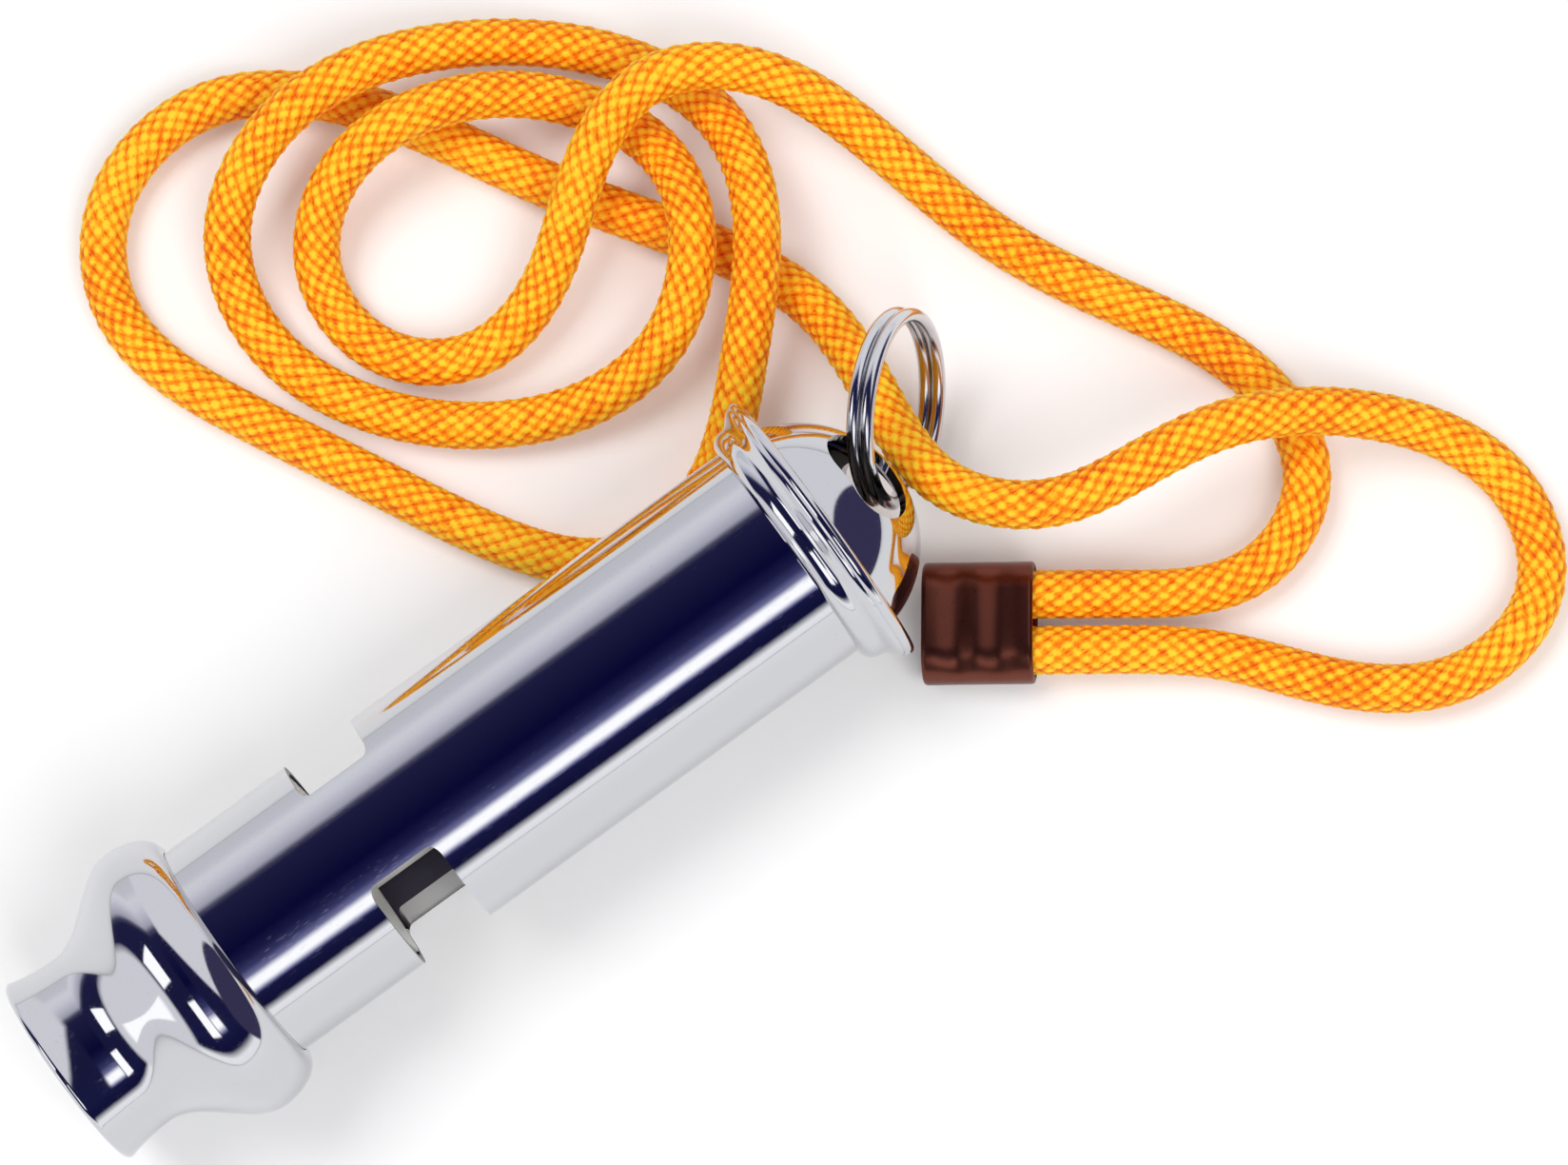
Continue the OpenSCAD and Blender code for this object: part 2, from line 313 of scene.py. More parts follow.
class Nodes:
    """Small helper that adds and links shader nodes."""

    def __init__(self, tree: NodeTree) -> None:
        """Starts on a tree."""
        self.tree = tree

    def fill(self, node: Node, inputs: dict[str | int, object]) -> None:
        """Gives a node's inputs their links, numbers or colours.

        Args:
            node: The node.
            inputs: Socket or plain value of each input, by its name or number.
        """
        for name, value in inputs.items():
            if isinstance(value, NodeSocket):
                self.link(value, node.inputs[name])
            else:
                node.inputs[name].default_value = value

    def add(self, kind: str, inputs: dict[str | int, object] | None = None, **values: object) -> Node:
        """Adds a node.

        Args:
            kind: Blender's name of the node type.
            inputs: Socket or plain value of its inputs, by their names or numbers.
            values: Properties of the node.

        Returns:
            The node.
        """
        node = self.tree.nodes.new(kind)
        for name, value in values.items():
            setattr(node, name, value)
        self.fill(node, inputs or {})
        return node

    def link(self, source: NodeSocket, target: NodeSocket) -> None:
        """Links two sockets."""
        self.tree.links.new(source, target)

    def math(self, operation: str, a: object, b: object = 0.0, clamp: bool = False) -> NodeSocket:
        """Result of a math node on sockets or numbers, kept from 0 to 1 where it is clamped."""
        node = self.add("ShaderNodeMath", {0: a, 1: b}, operation=operation, use_clamp=clamp)
        return node.outputs[0]

    def noise(self, vector: NodeSocket, scale: float, detail: float) -> NodeSocket:
        """Noise of a scale and detail, read at a place."""
        node = self.add("ShaderNodeTexNoise", {"Vector": vector, "Scale": scale, "Detail": detail})
        return node.outputs["Fac"]

    def mix(self, mask: NodeSocket, outside: object, inside: object) -> NodeSocket:
        """Two colours or sockets joined by a mask, which is the share of the inside one."""
        node = self.add("ShaderNodeMix", {"Factor": mask, "A": outside, "B": inside}, data_type="RGBA")
        return node.outputs["Result"]

    def bump(self, height: NodeSocket, distance: float, strength: float) -> NodeSocket:
        """A bump normal, from a height that counts for a distance in metres at a strength."""
        node = self.add("ShaderNodeBump", {"Height": height, "Distance": distance, "Strength": strength})
        return node.outputs["Normal"]

    def ramp(self, value: NodeSocket, stops: Sequence[tuple[float, Colour]]) -> NodeSocket:
        """A colour ramp.

        Args:
            value: What drives the ramp.
            stops: Places and colours along it.

        Returns:
            The colour socket.
        """
        node = self.add("ShaderNodeValToRGB")
        line = node.color_ramp.elements
        while len(line) > 1:
            line.remove(line[-1])
        line[0].position, line[0].color = stops[0]
        for place, colour in stops[1:]:
            line.new(place).color = colour
        self.link(value, node.inputs["Fac"])
        return node.outputs["Color"]

    def between(self, value: object, low: object, high: object, soft: float) -> NodeSocket:
        """A mask that is 1 where a value lies between two limits.

        Args:
            value: Socket that is looked at.
            low: Lower limit, a socket or number.
            high: Upper limit, a socket or number.
            soft: How far inside each limit the mask takes to rise.

        Returns:
            The mask's socket.
        """
        rise = self.math("DIVIDE", self.math("SUBTRACT", value, low), soft, clamp=True)
        fall = self.math("DIVIDE", self.math("SUBTRACT", high, value), soft, clamp=True)
        return self.math("MULTIPLY", rise, fall)


def handling_marks() -> ShaderNodeTree:
    """Node group of smudges, ripples, hairline scratches and dust that the metal finishes share.

    Returns:
        The group, with inputs Polish, Smudge, Hairline and Ripple and outputs Roughness, Height and Dust.
    """
    name = "handling_marks"
    if name in bpy.data.node_groups:
        return bpy.data.node_groups[name]
    tree = bpy.data.node_groups.new(name, "ShaderNodeTree")
    sockets = {
        "INPUT": ("Polish", "Smudge", "Hairline", "Ripple"),
        "OUTPUT": ("Roughness", "Height", "Dust"),
    }
    for way, titles in sockets.items():
        for title in titles:
            tree.interface.new_socket(title, in_out=way, socket_type="NodeSocketFloat")
    kit = Nodes(tree)
    into = kit.add("NodeGroupInput")
    outof = kit.add("NodeGroupOutput")
    place = kit.add("ShaderNodeTexCoord").outputs["Object"]
    smudge_scale = 160.0
    ripple_scale = 420.0
    hair_scale = (900.0, 14000.0, 14000.0)
    hair_turn = (0.0, 0.3, 0.25)
    hair_limit = 0.68
    hair_rough = 0.1
    hair_depth = 0.04
    dust_scale = 5200.0
    dust_limit = 0.66
    dust_gain = 6.0
    smudge = kit.noise(place, smudge_scale, 4.0)
    stretch = kit.add("ShaderNodeMapping", {"Vector": place, "Scale": hair_scale, "Rotation": hair_turn})
    hair = kit.noise(stretch.outputs["Vector"], 1.0, 2.0)
    hairline = kit.math("MULTIPLY", kit.math("GREATER_THAN", hair, hair_limit), into.outputs["Hairline"])
    speck = kit.noise(place, dust_scale, 1.0)
    dust = kit.math("MULTIPLY", kit.math("SUBTRACT", speck, dust_limit, clamp=True), dust_gain, clamp=True)
    rough = kit.math("ADD", into.outputs["Polish"], kit.math("MULTIPLY", smudge, into.outputs["Smudge"]))
    rough = kit.math("ADD", rough, kit.math("MULTIPLY", hairline, hair_rough))
    ripple = kit.math("MULTIPLY", kit.noise(place, ripple_scale, 2.0), into.outputs["Ripple"])
    height = kit.math("SUBTRACT", ripple, kit.math("MULTIPLY", hairline, hair_depth))
    kit.fill(outof, {"Roughness": rough, "Height": height, "Dust": dust})
    return tree


def fresh_material(name: str) -> tuple[Material, Nodes, Node]:
    """Starts a node material.

    Args:
        name: Name of the material.

    Returns:
        The material, a helper on its tree, and its Principled shader.
    """
    material = bpy.data.materials.new(name)
    material.use_nodes = True
    kit = Nodes(material.node_tree)
    return material, kit, material.node_tree.nodes["Principled BSDF"]


@dataclass(frozen=True)
class MetalFinish:
    """A metal with handling marks.

    Attributes:
        name: Name of the material.
        colour: Colour of the clean metal.
        worn: Colour that dust and tarnish turn it to.
        polish: Least roughness.
        smudge: Roughness that smudges add.
        hairline: Strength of the hairline scratches.
        tarnish: Share of colour change in the dusty places.
        ripple: Strength of the surface's faint waves.
        metallic: Share of bare metal.
        mark_height: Height of the waves and depth of the scratches.
    """

    name: str
    colour: Colour
    worn: Colour
    polish: float
    smudge: float
    hairline: float
    tarnish: float
    ripple: float = 0.2
    metallic: float = 1.0
    mark_height: float = 0.02 * MM

    def material(self) -> Material:
        """Builds the material.

        Returns:
            The material.
        """
        material, kit, shader = fresh_material(self.name)
        wear = {
            "Polish": self.polish, "Smudge": self.smudge, "Hairline": self.hairline, "Ripple": self.ripple,
        }
        marks = kit.add("ShaderNodeGroup", wear, node_tree=handling_marks())
        share = kit.math("MULTIPLY", marks.outputs["Dust"], self.tarnish)
        kit.fill(shader, {
            "Base Color": kit.mix(share, self.colour, self.worn),
            "Roughness": marks.outputs["Roughness"],
            "Normal": kit.bump(marks.outputs["Height"], self.mark_height, 1.0),
            "Metallic": self.metallic,
        })
        return material


@dataclass(frozen=True)
class BraidFinish:
    """A braided cord whose colour holds painted light: a painted highlight on the crowns and painted shade in
    the valleys.

    Attributes:
        name: Name of the material.
        valley_shade: Painted shade, the colour between the strands.
        side: Colour of the strands' sides.
        crown: Painted highlight, the colour of the strands' tops.
        stops: Tones at which those colours lie.
        yarn: Scale, detail and share of the yarn's grain in the tone.
        patch: The same for broad patches.
        fleck: The same for flecks of about a strand's width.
        rough: Least roughness.
        rough_spread: Roughness that the grain adds.
        fuzz: Height of the grain.
    """

    name: str
    valley_shade: Colour = (0.72, 0.085, 0.001, 1.0)
    side: Colour = (1.0, 0.29, 0.003, 1.0)
    crown: Colour = (1.0, 0.62, 0.03, 1.0)
    stops: Triple = (0.18, 0.53, 0.9)
    yarn: Triple = (7000.0, 3.0, 0.5)
    patch: Triple = (90.0, 2.0, 0.45)
    fleck: Triple = (1300.0, 2.0, 0.9)
    rough: float = 0.5
    rough_spread: float = 0.25
    fuzz: float = 0.05 * MM

    def material(self) -> Material:
        """Builds the material.

        Returns:
            The material.
        """
        material, kit, shader = fresh_material(self.name)
        # The braid's height paints light into the colour: bright on the crowns, shaded in the valleys
        tone = kit.add("ShaderNodeAttribute", attribute_name="crown").outputs["Fac"]
        place = kit.add("ShaderNodeTexCoord").outputs["Object"]
        grain = kit.noise(place, *self.yarn[:2])
        patch = kit.noise(place, *self.patch[:2])
        fleck = kit.noise(place, *self.fleck[:2])
        for noise, share in ((grain, self.yarn[2]), (patch, self.patch[2]), (fleck, self.fleck[2])):
            tone = kit.math("ADD", tone, kit.math("MULTIPLY", kit.math("SUBTRACT", noise, 0.5), share))
        kit.fill(shader, {
            "Base Color": kit.ramp(tone, list(zip(self.stops, (self.valley_shade, self.side, self.crown)))),
            "Roughness": kit.math("ADD", kit.math("MULTIPLY", grain, self.rough_spread), self.rough),
            "Normal": kit.bump(grain, self.fuzz, 0.5),
            "Specular IOR Level": 0.25,
            "Sheen Weight": 0.1,
            "Sheen Roughness": 0.4,
            "Sheen Tint": (1.0, 0.7, 0.2, 1.0),
        })
        return material


CHROME = MetalFinish(
    "polished_chrome", colour=(0.57, 0.575, 0.60, 1), worn=(0.47, 0.47, 0.49, 1),
    polish=0.03, smudge=0.05, hairline=0.4, tarnish=0.5,
)
# Painted light: the inner pieces' nickel gets a near-white matte colour without metal, so that the septum
# looks lit; its dust is real
PAINTED_LIT_NICKEL = MetalFinish(
    "painted_lit_nickel", colour=(0.95, 0.93, 0.88, 1), worn=(0.74, 0.69, 0.60, 1),
    polish=0.30, smudge=0.2, hairline=1.0, tarnish=0.6, metallic=0.0,
)
# Painted shade: a near-black, blue-tinted finish for the barrel's inside stands for the shade and dark
# reflections within the tube
PAINTED_SHADE_INNER = MetalFinish(
    "painted_shade_inner_metal", colour=(0.06, 0.055, 0.08, 1), worn=(0.03, 0.03, 0.04, 1),
    polish=0.25, smudge=0.2, hairline=1.0, tarnish=0.6,
)
STEEL = MetalFinish(
    "spring_steel", colour=(0.62, 0.62, 0.64, 1), worn=(0.42, 0.38, 0.36, 1),
    polish=0.09, smudge=0.12, hairline=1.0, tarnish=0.6,
)
BRONZE = MetalFinish(
    "bronzed_sleeve", colour=(0.16, 0.05, 0.034, 1), worn=(0.06, 0.015, 0.012, 1),
    polish=0.25, smudge=0.2, hairline=1.0, tarnish=0.8,
)
BRAID = BraidFinish("braided_cord")


# Pieces


@dataclass
class Barrel:
    """Drawn tube with two opposite windows.

    Attributes:
        axis: The whistle's axis.
        wall: Wall of the tube.
        window_from: Near edge of the windows, from the lip.
        window_len: Length of the windows.
        window_reach: Angle that a window spans to either side, in degrees.
        corner: Corner radius of the windows.
        eased: Width of the eased edges.
    """

    axis: Axis
    wall: float = 0.6 * MM
    window_from: float = 25.0 * MM
    window_len: float = 5.7 * MM
    window_reach: float = 62.0
    corner: float = 0.6 * MM
    eased: float = 0.05 * MM

    def window(self, side: int, outer: float) -> Object:
        """Cutter of one window.

        Args:
            side: 1 for the window on +Y, -1 for the one on -Y.
            outer: Outer radius of the tube.

        Returns:
            The cutter.
        """
        high = outer * math.sin(math.radians(self.window_reach))
        deep = (outer - self.wall) * math.cos(math.radians(self.window_reach)) / 2
        r = self.corner
        far = self.window_len
        outline = (
            arc((r, -high + r), r, 180, 270, 6) + arc((far - r, -high + r), r, 270, 360, 6)
            + arc((far - r, high - r), r, 0, 90, 6) + arc((r, high - r), r, 90, 180, 6)
        )
        at = Vector((self.axis.lip_x + self.window_from, side * deep, self.axis.z))
        return prism("window_cutter", outline, at, ALONG, Vector((0, 0, -side)), 2 * outer)

    def build(self, chrome: Material, dark: Material) -> None:
        """Makes the tube, chrome outside; its inside has painted shade, a near-black finish that stands for
        the shade within.

        Args:
            chrome: Finish of the outside.
            dark: Finish of the inside, painted shade.
        """
        low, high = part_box("barrel")
        outer = (high.y - low.y) / 2
        start, end = low.x - self.axis.lip_x, high.x - self.axis.lip_x
        inner = outer - self.wall
        profile = [(start, inner), (start, outer), (end, outer), (end, inner)]
        tube = new_object("windowed_barrel", self.axis.turned("windowed_barrel", profile))
        cut(tube, [self.window(1, outer), self.window(-1, outer)], self.eased)

        def out(p: Vector) -> Vector:
            """Offset of a point from the axis."""
            return Vector((0, p.y, p.z - self.axis.z))

        shade_to_form(tube.data, out, (outer, inner))
        dress(tube, chrome, Slot.CHROME, Body.WHISTLE, "barrel")
        # The inside faces get the painted shade finish
        tube.data.materials.append(dark)
        for face in tube.data.polygons:
            inside = out(face.center).length < inner + self.wall / 4
            face.material_index = 1 if inside and face.normal.dot(out(face.center)) < 0 else 0


@dataclass
class Mouthpiece:
    """Turned mouth end with a lip, a waist and a bead.

    Attributes:
        axis: The whistle's axis.
        lip_r: Radius of the lip.
        lip_round: Rounding of the lip.
        waist_r: Radius of the waist.
        waist_x: Place of the waist.
        bead_back: Length from the bead's crest to the barrel.
        bore_r: Radius of the mouth bore.
        socket_depth: Depth of the barrel's socket.
        socket_gap: Gap round the barrel in its socket.
    """

    axis: Axis
    lip_r: float = 7.5 * MM
    lip_round: float = 0.4 * MM
    waist_r: float = 7.0 * MM
    waist_x: float = 4.0 * MM
    bead_back: float = 3.4 * MM
    bore_r: float = 6.2 * MM
    socket_depth: float = 4.0 * MM
    socket_gap: float = 0.05 * MM

    def profile(self) -> Outline:
        """Closed profile of the mouthpiece as (place, radius) points."""
        low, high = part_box("mouthpiece")
        length = high.x - low.x
        bead_r = (high.z - low.z) / 2
        tube_low, tube_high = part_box("barrel")
        socket_r = (tube_high.y - tube_low.y) / 2 + self.socket_gap
        rim = self.lip_round
        bead_x = length - self.bead_back
        foot_r = socket_r + rim
        back = [
            (bead_x + self.bead_back * math.sin(a), foot_r + (bead_r - foot_r) * math.cos(a))
            for a in quarter(40)
        ]
        seat = length - self.socket_depth
        return (
            arc((rim, self.bore_r + rim), rim, 270, 180)
            + arc((rim, self.lip_r - rim), rim, 180, 90)
            + flare((rim, self.lip_r), (self.waist_x, self.waist_r))
            + wave((self.waist_x, self.waist_r), (bead_x, bead_r))
            + back
            + [(length, socket_r), (seat, socket_r), (seat, self.bore_r)]
        )

    def build(self, chrome: Material) -> None:
        """Makes the mouthpiece.

        Args:
            chrome: Its finish.
        """
        mesh = self.axis.turned("flared_mouthpiece", self.profile())
        smooth(mesh)
        piece = new_object("flared_mouthpiece", mesh)
        dress(piece, chrome, Slot.CHROME, Body.WHISTLE, "mouthpiece")


@dataclass
class Cap:
    """Collar with a rim, and the domed end with the ring's holes.

    Attributes:
        axis: The whistle's axis.
        rim_t: Thickness of the rim.
        spigot_len: Length of the spigot inside the barrel.
        spigot_wall: Wall of the spigot.
        fit_gap: Gap round the spigot.
        dome_r: Outer radius of the dome.
        dome_foot: Distance from the dome's centre to its foot.
        dome_wall: Wall of the dome.
        hole_angle: Angle between the axis and the middle of a ring hole, in degrees.
        hole_r: Radius of a ring hole's round ends.
        hole_half: Distance from a hole's middle to the centres of its round ends.
        eased: Width of the eased edges.
    """

    axis: Axis
    rim_t: float = 0.9 * MM
    spigot_len: float = 3.5 * MM
    spigot_wall: float = 0.8 * MM
    fit_gap: float = 0.05 * MM
    dome_r: float = 8.65 * MM
    dome_foot: float = 2.4 * MM
    dome_wall: float = 0.6 * MM
    hole_angle: float = 34.0
    hole_r: float = 2.75 * MM
    hole_half: float = 1.0 * MM
    eased: float = 0.06 * MM

    def collar_profile(self, barrel_wall: float) -> Outline:
        """Closed profile of the collar.

        Args:
            barrel_wall: Wall of the barrel that the spigot fits in.

        Returns:
            Points (place, radius).
        """
        low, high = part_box("cap_collar")
        tube_low, tube_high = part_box("barrel")
        tube_r = (tube_high.y - tube_low.y) / 2
        rim_r = (high.z - low.z) / 2
        seam = tube_high.x - self.axis.lip_x
        end = high.x - self.axis.lip_x
        rim_x = end - self.rim_t
        spigot_r = tube_r - barrel_wall - self.fit_gap
        bore_r = spigot_r - self.spigot_wall
        edge = self.rim_t / 2
        shoulder_x = (seam + rim_x) / 2
        shoulder_r = (tube_r + rim_r) / 2
        swell = [
            (seam + (shoulder_x - seam) * (1 - math.cos(a)), tube_r + (shoulder_r - tube_r) * math.sin(a))
            for a in quarter(24)
        ]
        return (
            [(seam - self.spigot_len, bore_r), (seam - self.spigot_len, spigot_r), (seam, spigot_r)]
            + [(seam, tube_r + self.fit_gap)] + swell
            + wave((shoulder_x, shoulder_r), (rim_x, rim_r - edge / 2), 24)
            + arc((rim_x + edge, rim_r - edge), edge, 150, 0, 24)
            + [(end, bore_r)]
        )

    def ring_hole(self, up: int, centre: Vector) -> Object:
        """Cutter of one ring hole.

        Args:
            up: 1 for the hole above the apex strip, -1 for the one below.
            centre: Centre of the dome.

        Returns:
            The cutter.
        """
        lean = math.radians(self.hole_angle)
        along = Vector((math.cos(lean), 0, up * math.sin(lean)))
        across = Vector((0, 1, 0))
        outline = oval(self.hole_half, self.hole_r, 24)
        return prism("ring_hole_cutter", outline, centre, across, along.cross(across), 2 * self.dome_r)

    def dome(self) -> Object:
        """Makes the domed sheet end with its two holes.

        Returns:
            The dome.
        """
        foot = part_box("cap_dome")[0].x - self.axis.lip_x
        centre_x = foot - self.dome_foot
        inner_r = self.dome_r - self.dome_wall
        start_out = math.acos(self.dome_foot / self.dome_r)
        start_in = math.acos(self.dome_foot / inner_r)
        tip = 0.02 * MM
        steps = 64

        def meridian(r: float, start: float) -> Outline:
            """Points from the foot to near the apex."""
            last = math.asin(tip / r)
            turns = [start + (last - start) * i / steps for i in range(steps + 1)]
            return [(centre_x + r * math.cos(t), r * math.sin(t)) for t in turns]

        profile = meridian(self.dome_r, start_out) + meridian(inner_r, start_in)[::-1]
        shell = new_object("ring_dome", self.axis.turned("ring_dome", profile))
        close_tip(shell.data, self.axis, tip)
        centre = Vector((self.axis.lip_x + centre_x, 0, self.axis.z))
        cut(shell, [self.ring_hole(1, centre), self.ring_hole(-1, centre)], self.eased)
        shade_to_form(shell.data, lambda p: p - centre, (self.dome_r, inner_r))
        return shell

    def build(self, chrome: Material, barrel_wall: float) -> None:
        """Makes the collar and the dome.

        Args:
            chrome: Their finish.
            barrel_wall: Wall of the barrel.
        """
        mesh = self.axis.turned("rimmed_collar", self.collar_profile(barrel_wall))
        smooth(mesh)
        collar = new_object("rimmed_collar", mesh)
        dress(collar, chrome, Slot.CHROME, Body.WHISTLE, "cap_collar")
        dress(self.dome(), chrome, Slot.CHROME, Body.WHISTLE, "cap_dome")


def close_tip(mesh: Mesh, axis: Axis, tip: float) -> None:
    """Takes away the tiny tunnel at a dome's apex and fills both of its ends.

    Args:
        mesh: The dome's mesh.
        axis: The whistle's axis.
        tip: Radius of the tunnel.
    """
    work = bmesh.new()
    work.from_mesh(mesh)
    slack = tip * 1.01
    wall = [
        f for f in work.faces
        if all(math.hypot(v.co.y, v.co.z - axis.z) < slack for v in f.verts)
    ]
    bmesh.ops.delete(work, geom=wall, context="FACES_ONLY")
    bmesh.ops.holes_fill(work, edges=[e for e in work.edges if e.is_boundary], sides=0)
    bmesh.ops.recalc_face_normals(work, faces=work.faces)
    work.to_mesh(mesh)
    work.free()


def swept(
    name: str, path: np.ndarray, side: np.ndarray, up: np.ndarray, radius: np.ndarray | float, sides: int
) -> Mesh:
    """A closed tube of round sections along a path.

    Args:
        name: Name of the mesh.
        path: Points of the middle line.
        side: First cross direction at each point.
        up: Second cross direction at each point.
        radius: One radius, or one for each point and side.
        sides: Points round each section.

    Returns:
        The tube's mesh.
    """
    angles = 2 * np.pi * np.arange(sides) / sides
    reach = np.broadcast_to(np.asarray(radius, float), (len(path), sides))
    spokes = np.cos(angles)[None, :, None] * side[:, None] + np.sin(angles)[None, :, None] * up[:, None]
    points = (path[:, None] + reach[..., None] * spokes).reshape(-1, 3)
    return mesh_from(name, points, tube_faces(len(path), sides))


def run_along(line: np.ndarray) -> np.ndarray:
    """Distance of each point along a line of points."""
    return np.concatenate([[0], np.cumsum(np.linalg.norm(np.diff(line, axis=0), axis=1))])


@dataclass
class SplitRing:
    """Two turns of round wire through the dome's holes.

    Attributes:
        wire: Diameter of the wire.
        outer: Outer diameter of the ring.
        step_arc: Arc over which the wire passes from one turn to the next, in degrees.
        step_at: Where that step lies, in degrees round the ring from the bridge in the dome.
        turn_steps: Sections in each turn.
        sides: Points round the wire.
        end_len: Length over which each end is rounded, as a share of the wire.
        end_size: Least section of an end, as a share squared.
    """

    wire: float = 1.0 * MM
    outer: float = 14.5 * MM
    step_arc: float = 46.0
    step_at: float = 318.0
    turn_steps: int = 180
    sides: int = 20
    end_len: float = 0.3
    end_size: float = 0.2

    def build(self, steel: Material) -> None:
        """Makes the ring as one coiled wire.

        Args:
            steel: Its finish.
        """
        joint = next(j for j in frame["joints"] if j["name"] == "ring_swing")
        bridge = np.array(joint["pos_m"])
        tangent = np.array(joint["axis"])
        low, high = (np.array(v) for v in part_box("split_ring"))
        outward = (low + high) / 2 - bridge
        outward -= tangent * outward.dot(tangent)
        outward /= np.linalg.norm(outward)
        normal = np.cross(outward, tangent)
        r = (self.outer - self.wire) / 2
        centre = bridge + r * outward
        gap = math.radians(self.step_arc)
        turns = np.linspace(gap / 2, 4 * np.pi - gap / 2, 2 * self.turn_steps)
        share = np.clip((turns - (2 * np.pi - gap / 2)) / gap, 0, 1)
        shift = self.wire * 0.5 * (2 * share * share * (3 - 2 * share) - 1)
        angle = turns + math.radians(self.step_at)
        radial = -np.cos(angle)[:, None] * outward + np.sin(angle)[:, None] * tangent
        path = centre + r * radial + shift[:, None] * normal
        across = np.broadcast_to(normal, radial.shape)
        ends = np.minimum(turns - turns[0], turns[-1] - turns) * r
        taper = 1 - np.clip(ends / (self.wire * self.end_len), 0, 1)
        soft = np.sqrt(np.clip(1 - taper**2, self.end_size, 1))
        mesh = swept("coiled_split_ring", path, radial, across, (self.wire / 2 * soft)[:, None], self.sides)
        smooth(mesh, 50)
        ring = new_object("coiled_split_ring", mesh)
        dress(ring, steel, Slot.RING, Body.RING, "split_ring")


@dataclass
class Lanyard:
    """Braided cord loop and the crimped sleeve that holds its ends.

    Attributes:
        diameter: Diameter of the cord.
        sleeve_at: Middle of the sleeve on the ground.
        sleeve_turn: Direction of the sleeve's open face, in degrees.
        sleeve_len: Length of the sleeve.
        sleeve_wall: Wall of the sleeve.
        strand_gap: Gap between the cord's two ends in the sleeve.
        lead: Straight length in front of the sleeve's face.
        inside: Length of cord inside the sleeve.
        lie: Height of the cord's middle on the ground, in millimetres.
        carriers: Strands that run each way round the braid.
        cell: Length of a braid cell along the cord.
        relief: Depth of the braid's valleys.
        sides: Points round the cord.
        cell_steps: Sections in each braid cell.
        strand_curve: How round a strand is across its cell.
        dive: Height of a strand where it passes under, as a share of its top.
    """

    diameter: float = 3.6 * MM
    sleeve_at: Pair = (30.6 * MM, -10.3 * MM)
    sleeve_turn: float = -36.0
    sleeve_len: float = 8.0 * MM
    sleeve_wall: float = 0.6 * MM
    strand_gap: float = 0.5 * MM
    lead: float = 5.5 * MM
    inside: float = 3.0 * MM
    lie: float = 1.85
    carriers: int = 10
    cell: float = 1.35 * MM
    relief: float = 0.30 * MM
    sides: int = 60
    cell_steps: int = 5
    strand_curve: float = 1.9
    dive: float = 0.35

    def route_mm(self) -> list[Triple]:
        """The route's free points, in millimetres, as they are in the part's source."""
        lie = self.lie
        return [
            (43.5, -22.2, lie), (48, -29, lie), (55, -35, lie), (65.2, -33.6, lie), (68.4, -23.2, lie),
            (62, -14.6, 4.4), (54, -10.2, 8.2), (46.3, -9.4, 9.4), (38.9, -8.8, 9.6), (32.9, -2, 8.6),
            (34.3, 7, 6), (35.5, 16.5, 2.2), (31, 25.5, lie), (25.5, 33.5, lie), (21, 42, lie),
            (16.5, 50.5, lie), (8, 58, lie), (-3.5, 56, lie), (-8.5, 46, lie), (-4, 35.5, lie),
            (1, 26, lie), (5.5, 16.5, lie), (11.5, 8, lie), (21.5, 9, lie), (28.5, 15.5, 5.4),
            (35.5, 22, 8.2), (38.6, 33, 2.4), (33, 43.4, lie), (22.5, 49.8, 5.2), (12, 51.5, 7.2),
            (2, 47.5, 4.6), (-0.4, 37, lie), (6, 26, lie), (16, 19.6, lie), (25.5, 19, 5),
            (32.2, 25.6, 7.8), (32.8, 35, 2), (27.4, 42.3, 4), (19.5, 45, 7.6), (12, 45.6, 5),
            (6, 41.2, 2.2), (6.2, 32.4, lie), (13, 27, lie), (21, 29, 4), (27, 34, 7.2), (35, 37, 8.6),
            (43, 31.5, 6.4), (46, 21.5, 2.4), (48, 12, lie), (52.4, 3.4, lie), (57.6, -5.6, lie),
            (57.6, -16.2, lie), (48, -20.6, lie),
        ]

    def sleeve_frame(self) -> tuple[np.ndarray, np.ndarray, np.ndarray]:
        """Middle of the sleeve's open face, its direction and its side direction."""
        turn = math.radians(self.sleeve_turn)
        along = np.array([math.cos(turn), math.sin(turn), 0.0])
        across = np.array([-math.sin(turn), math.cos(turn), 0.0])
        height = self.diameter / 2 + self.sleeve_wall
        face = np.array([*self.sleeve_at, height]) + along * self.sleeve_len / 2
        return face, along, across

    def centreline(self, spacing: float) -> np.ndarray:
        """Evenly spaced points along the cord, its ends inside the sleeve among them.

        Args:
            spacing: Distance between the points.

        Returns:
            The points in metres.
        """
        face, along, across = self.sleeve_frame()
        offset = (self.diameter + self.strand_gap) / 2
        start, end = face - across * offset, face + across * offset
        free = [np.array(p) * MM for p in self.route_mm()]
        route = np.array([start, start + along * self.lead, *free, end + along * self.lead, end])
        control = np.vstack([2 * route[0] - route[1], route, 2 * route[-1] - route[-2]])
        t = np.linspace(0, 1, 40, endpoint=False)[:, None]
        steps = [
            ((1 - t) ** 3 * a + (3 * t**3 - 6 * t**2 + 4) * b
             + (1 + 3 * t + 3 * t**2 - 3 * t**3) * c + t**3 * d) / 6
            for a, b, c, d in zip(control, control[1:], control[2:], control[3:])
        ]
        line = np.vstack([start - along * self.inside, *steps, end, end - along * self.inside])
        run = run_along(line)
        even = np.linspace(0, run[-1], round(run[-1] / spacing) + 1)
        return np.stack([np.interp(even, run, line[:, k]) for k in range(3)], axis=1)

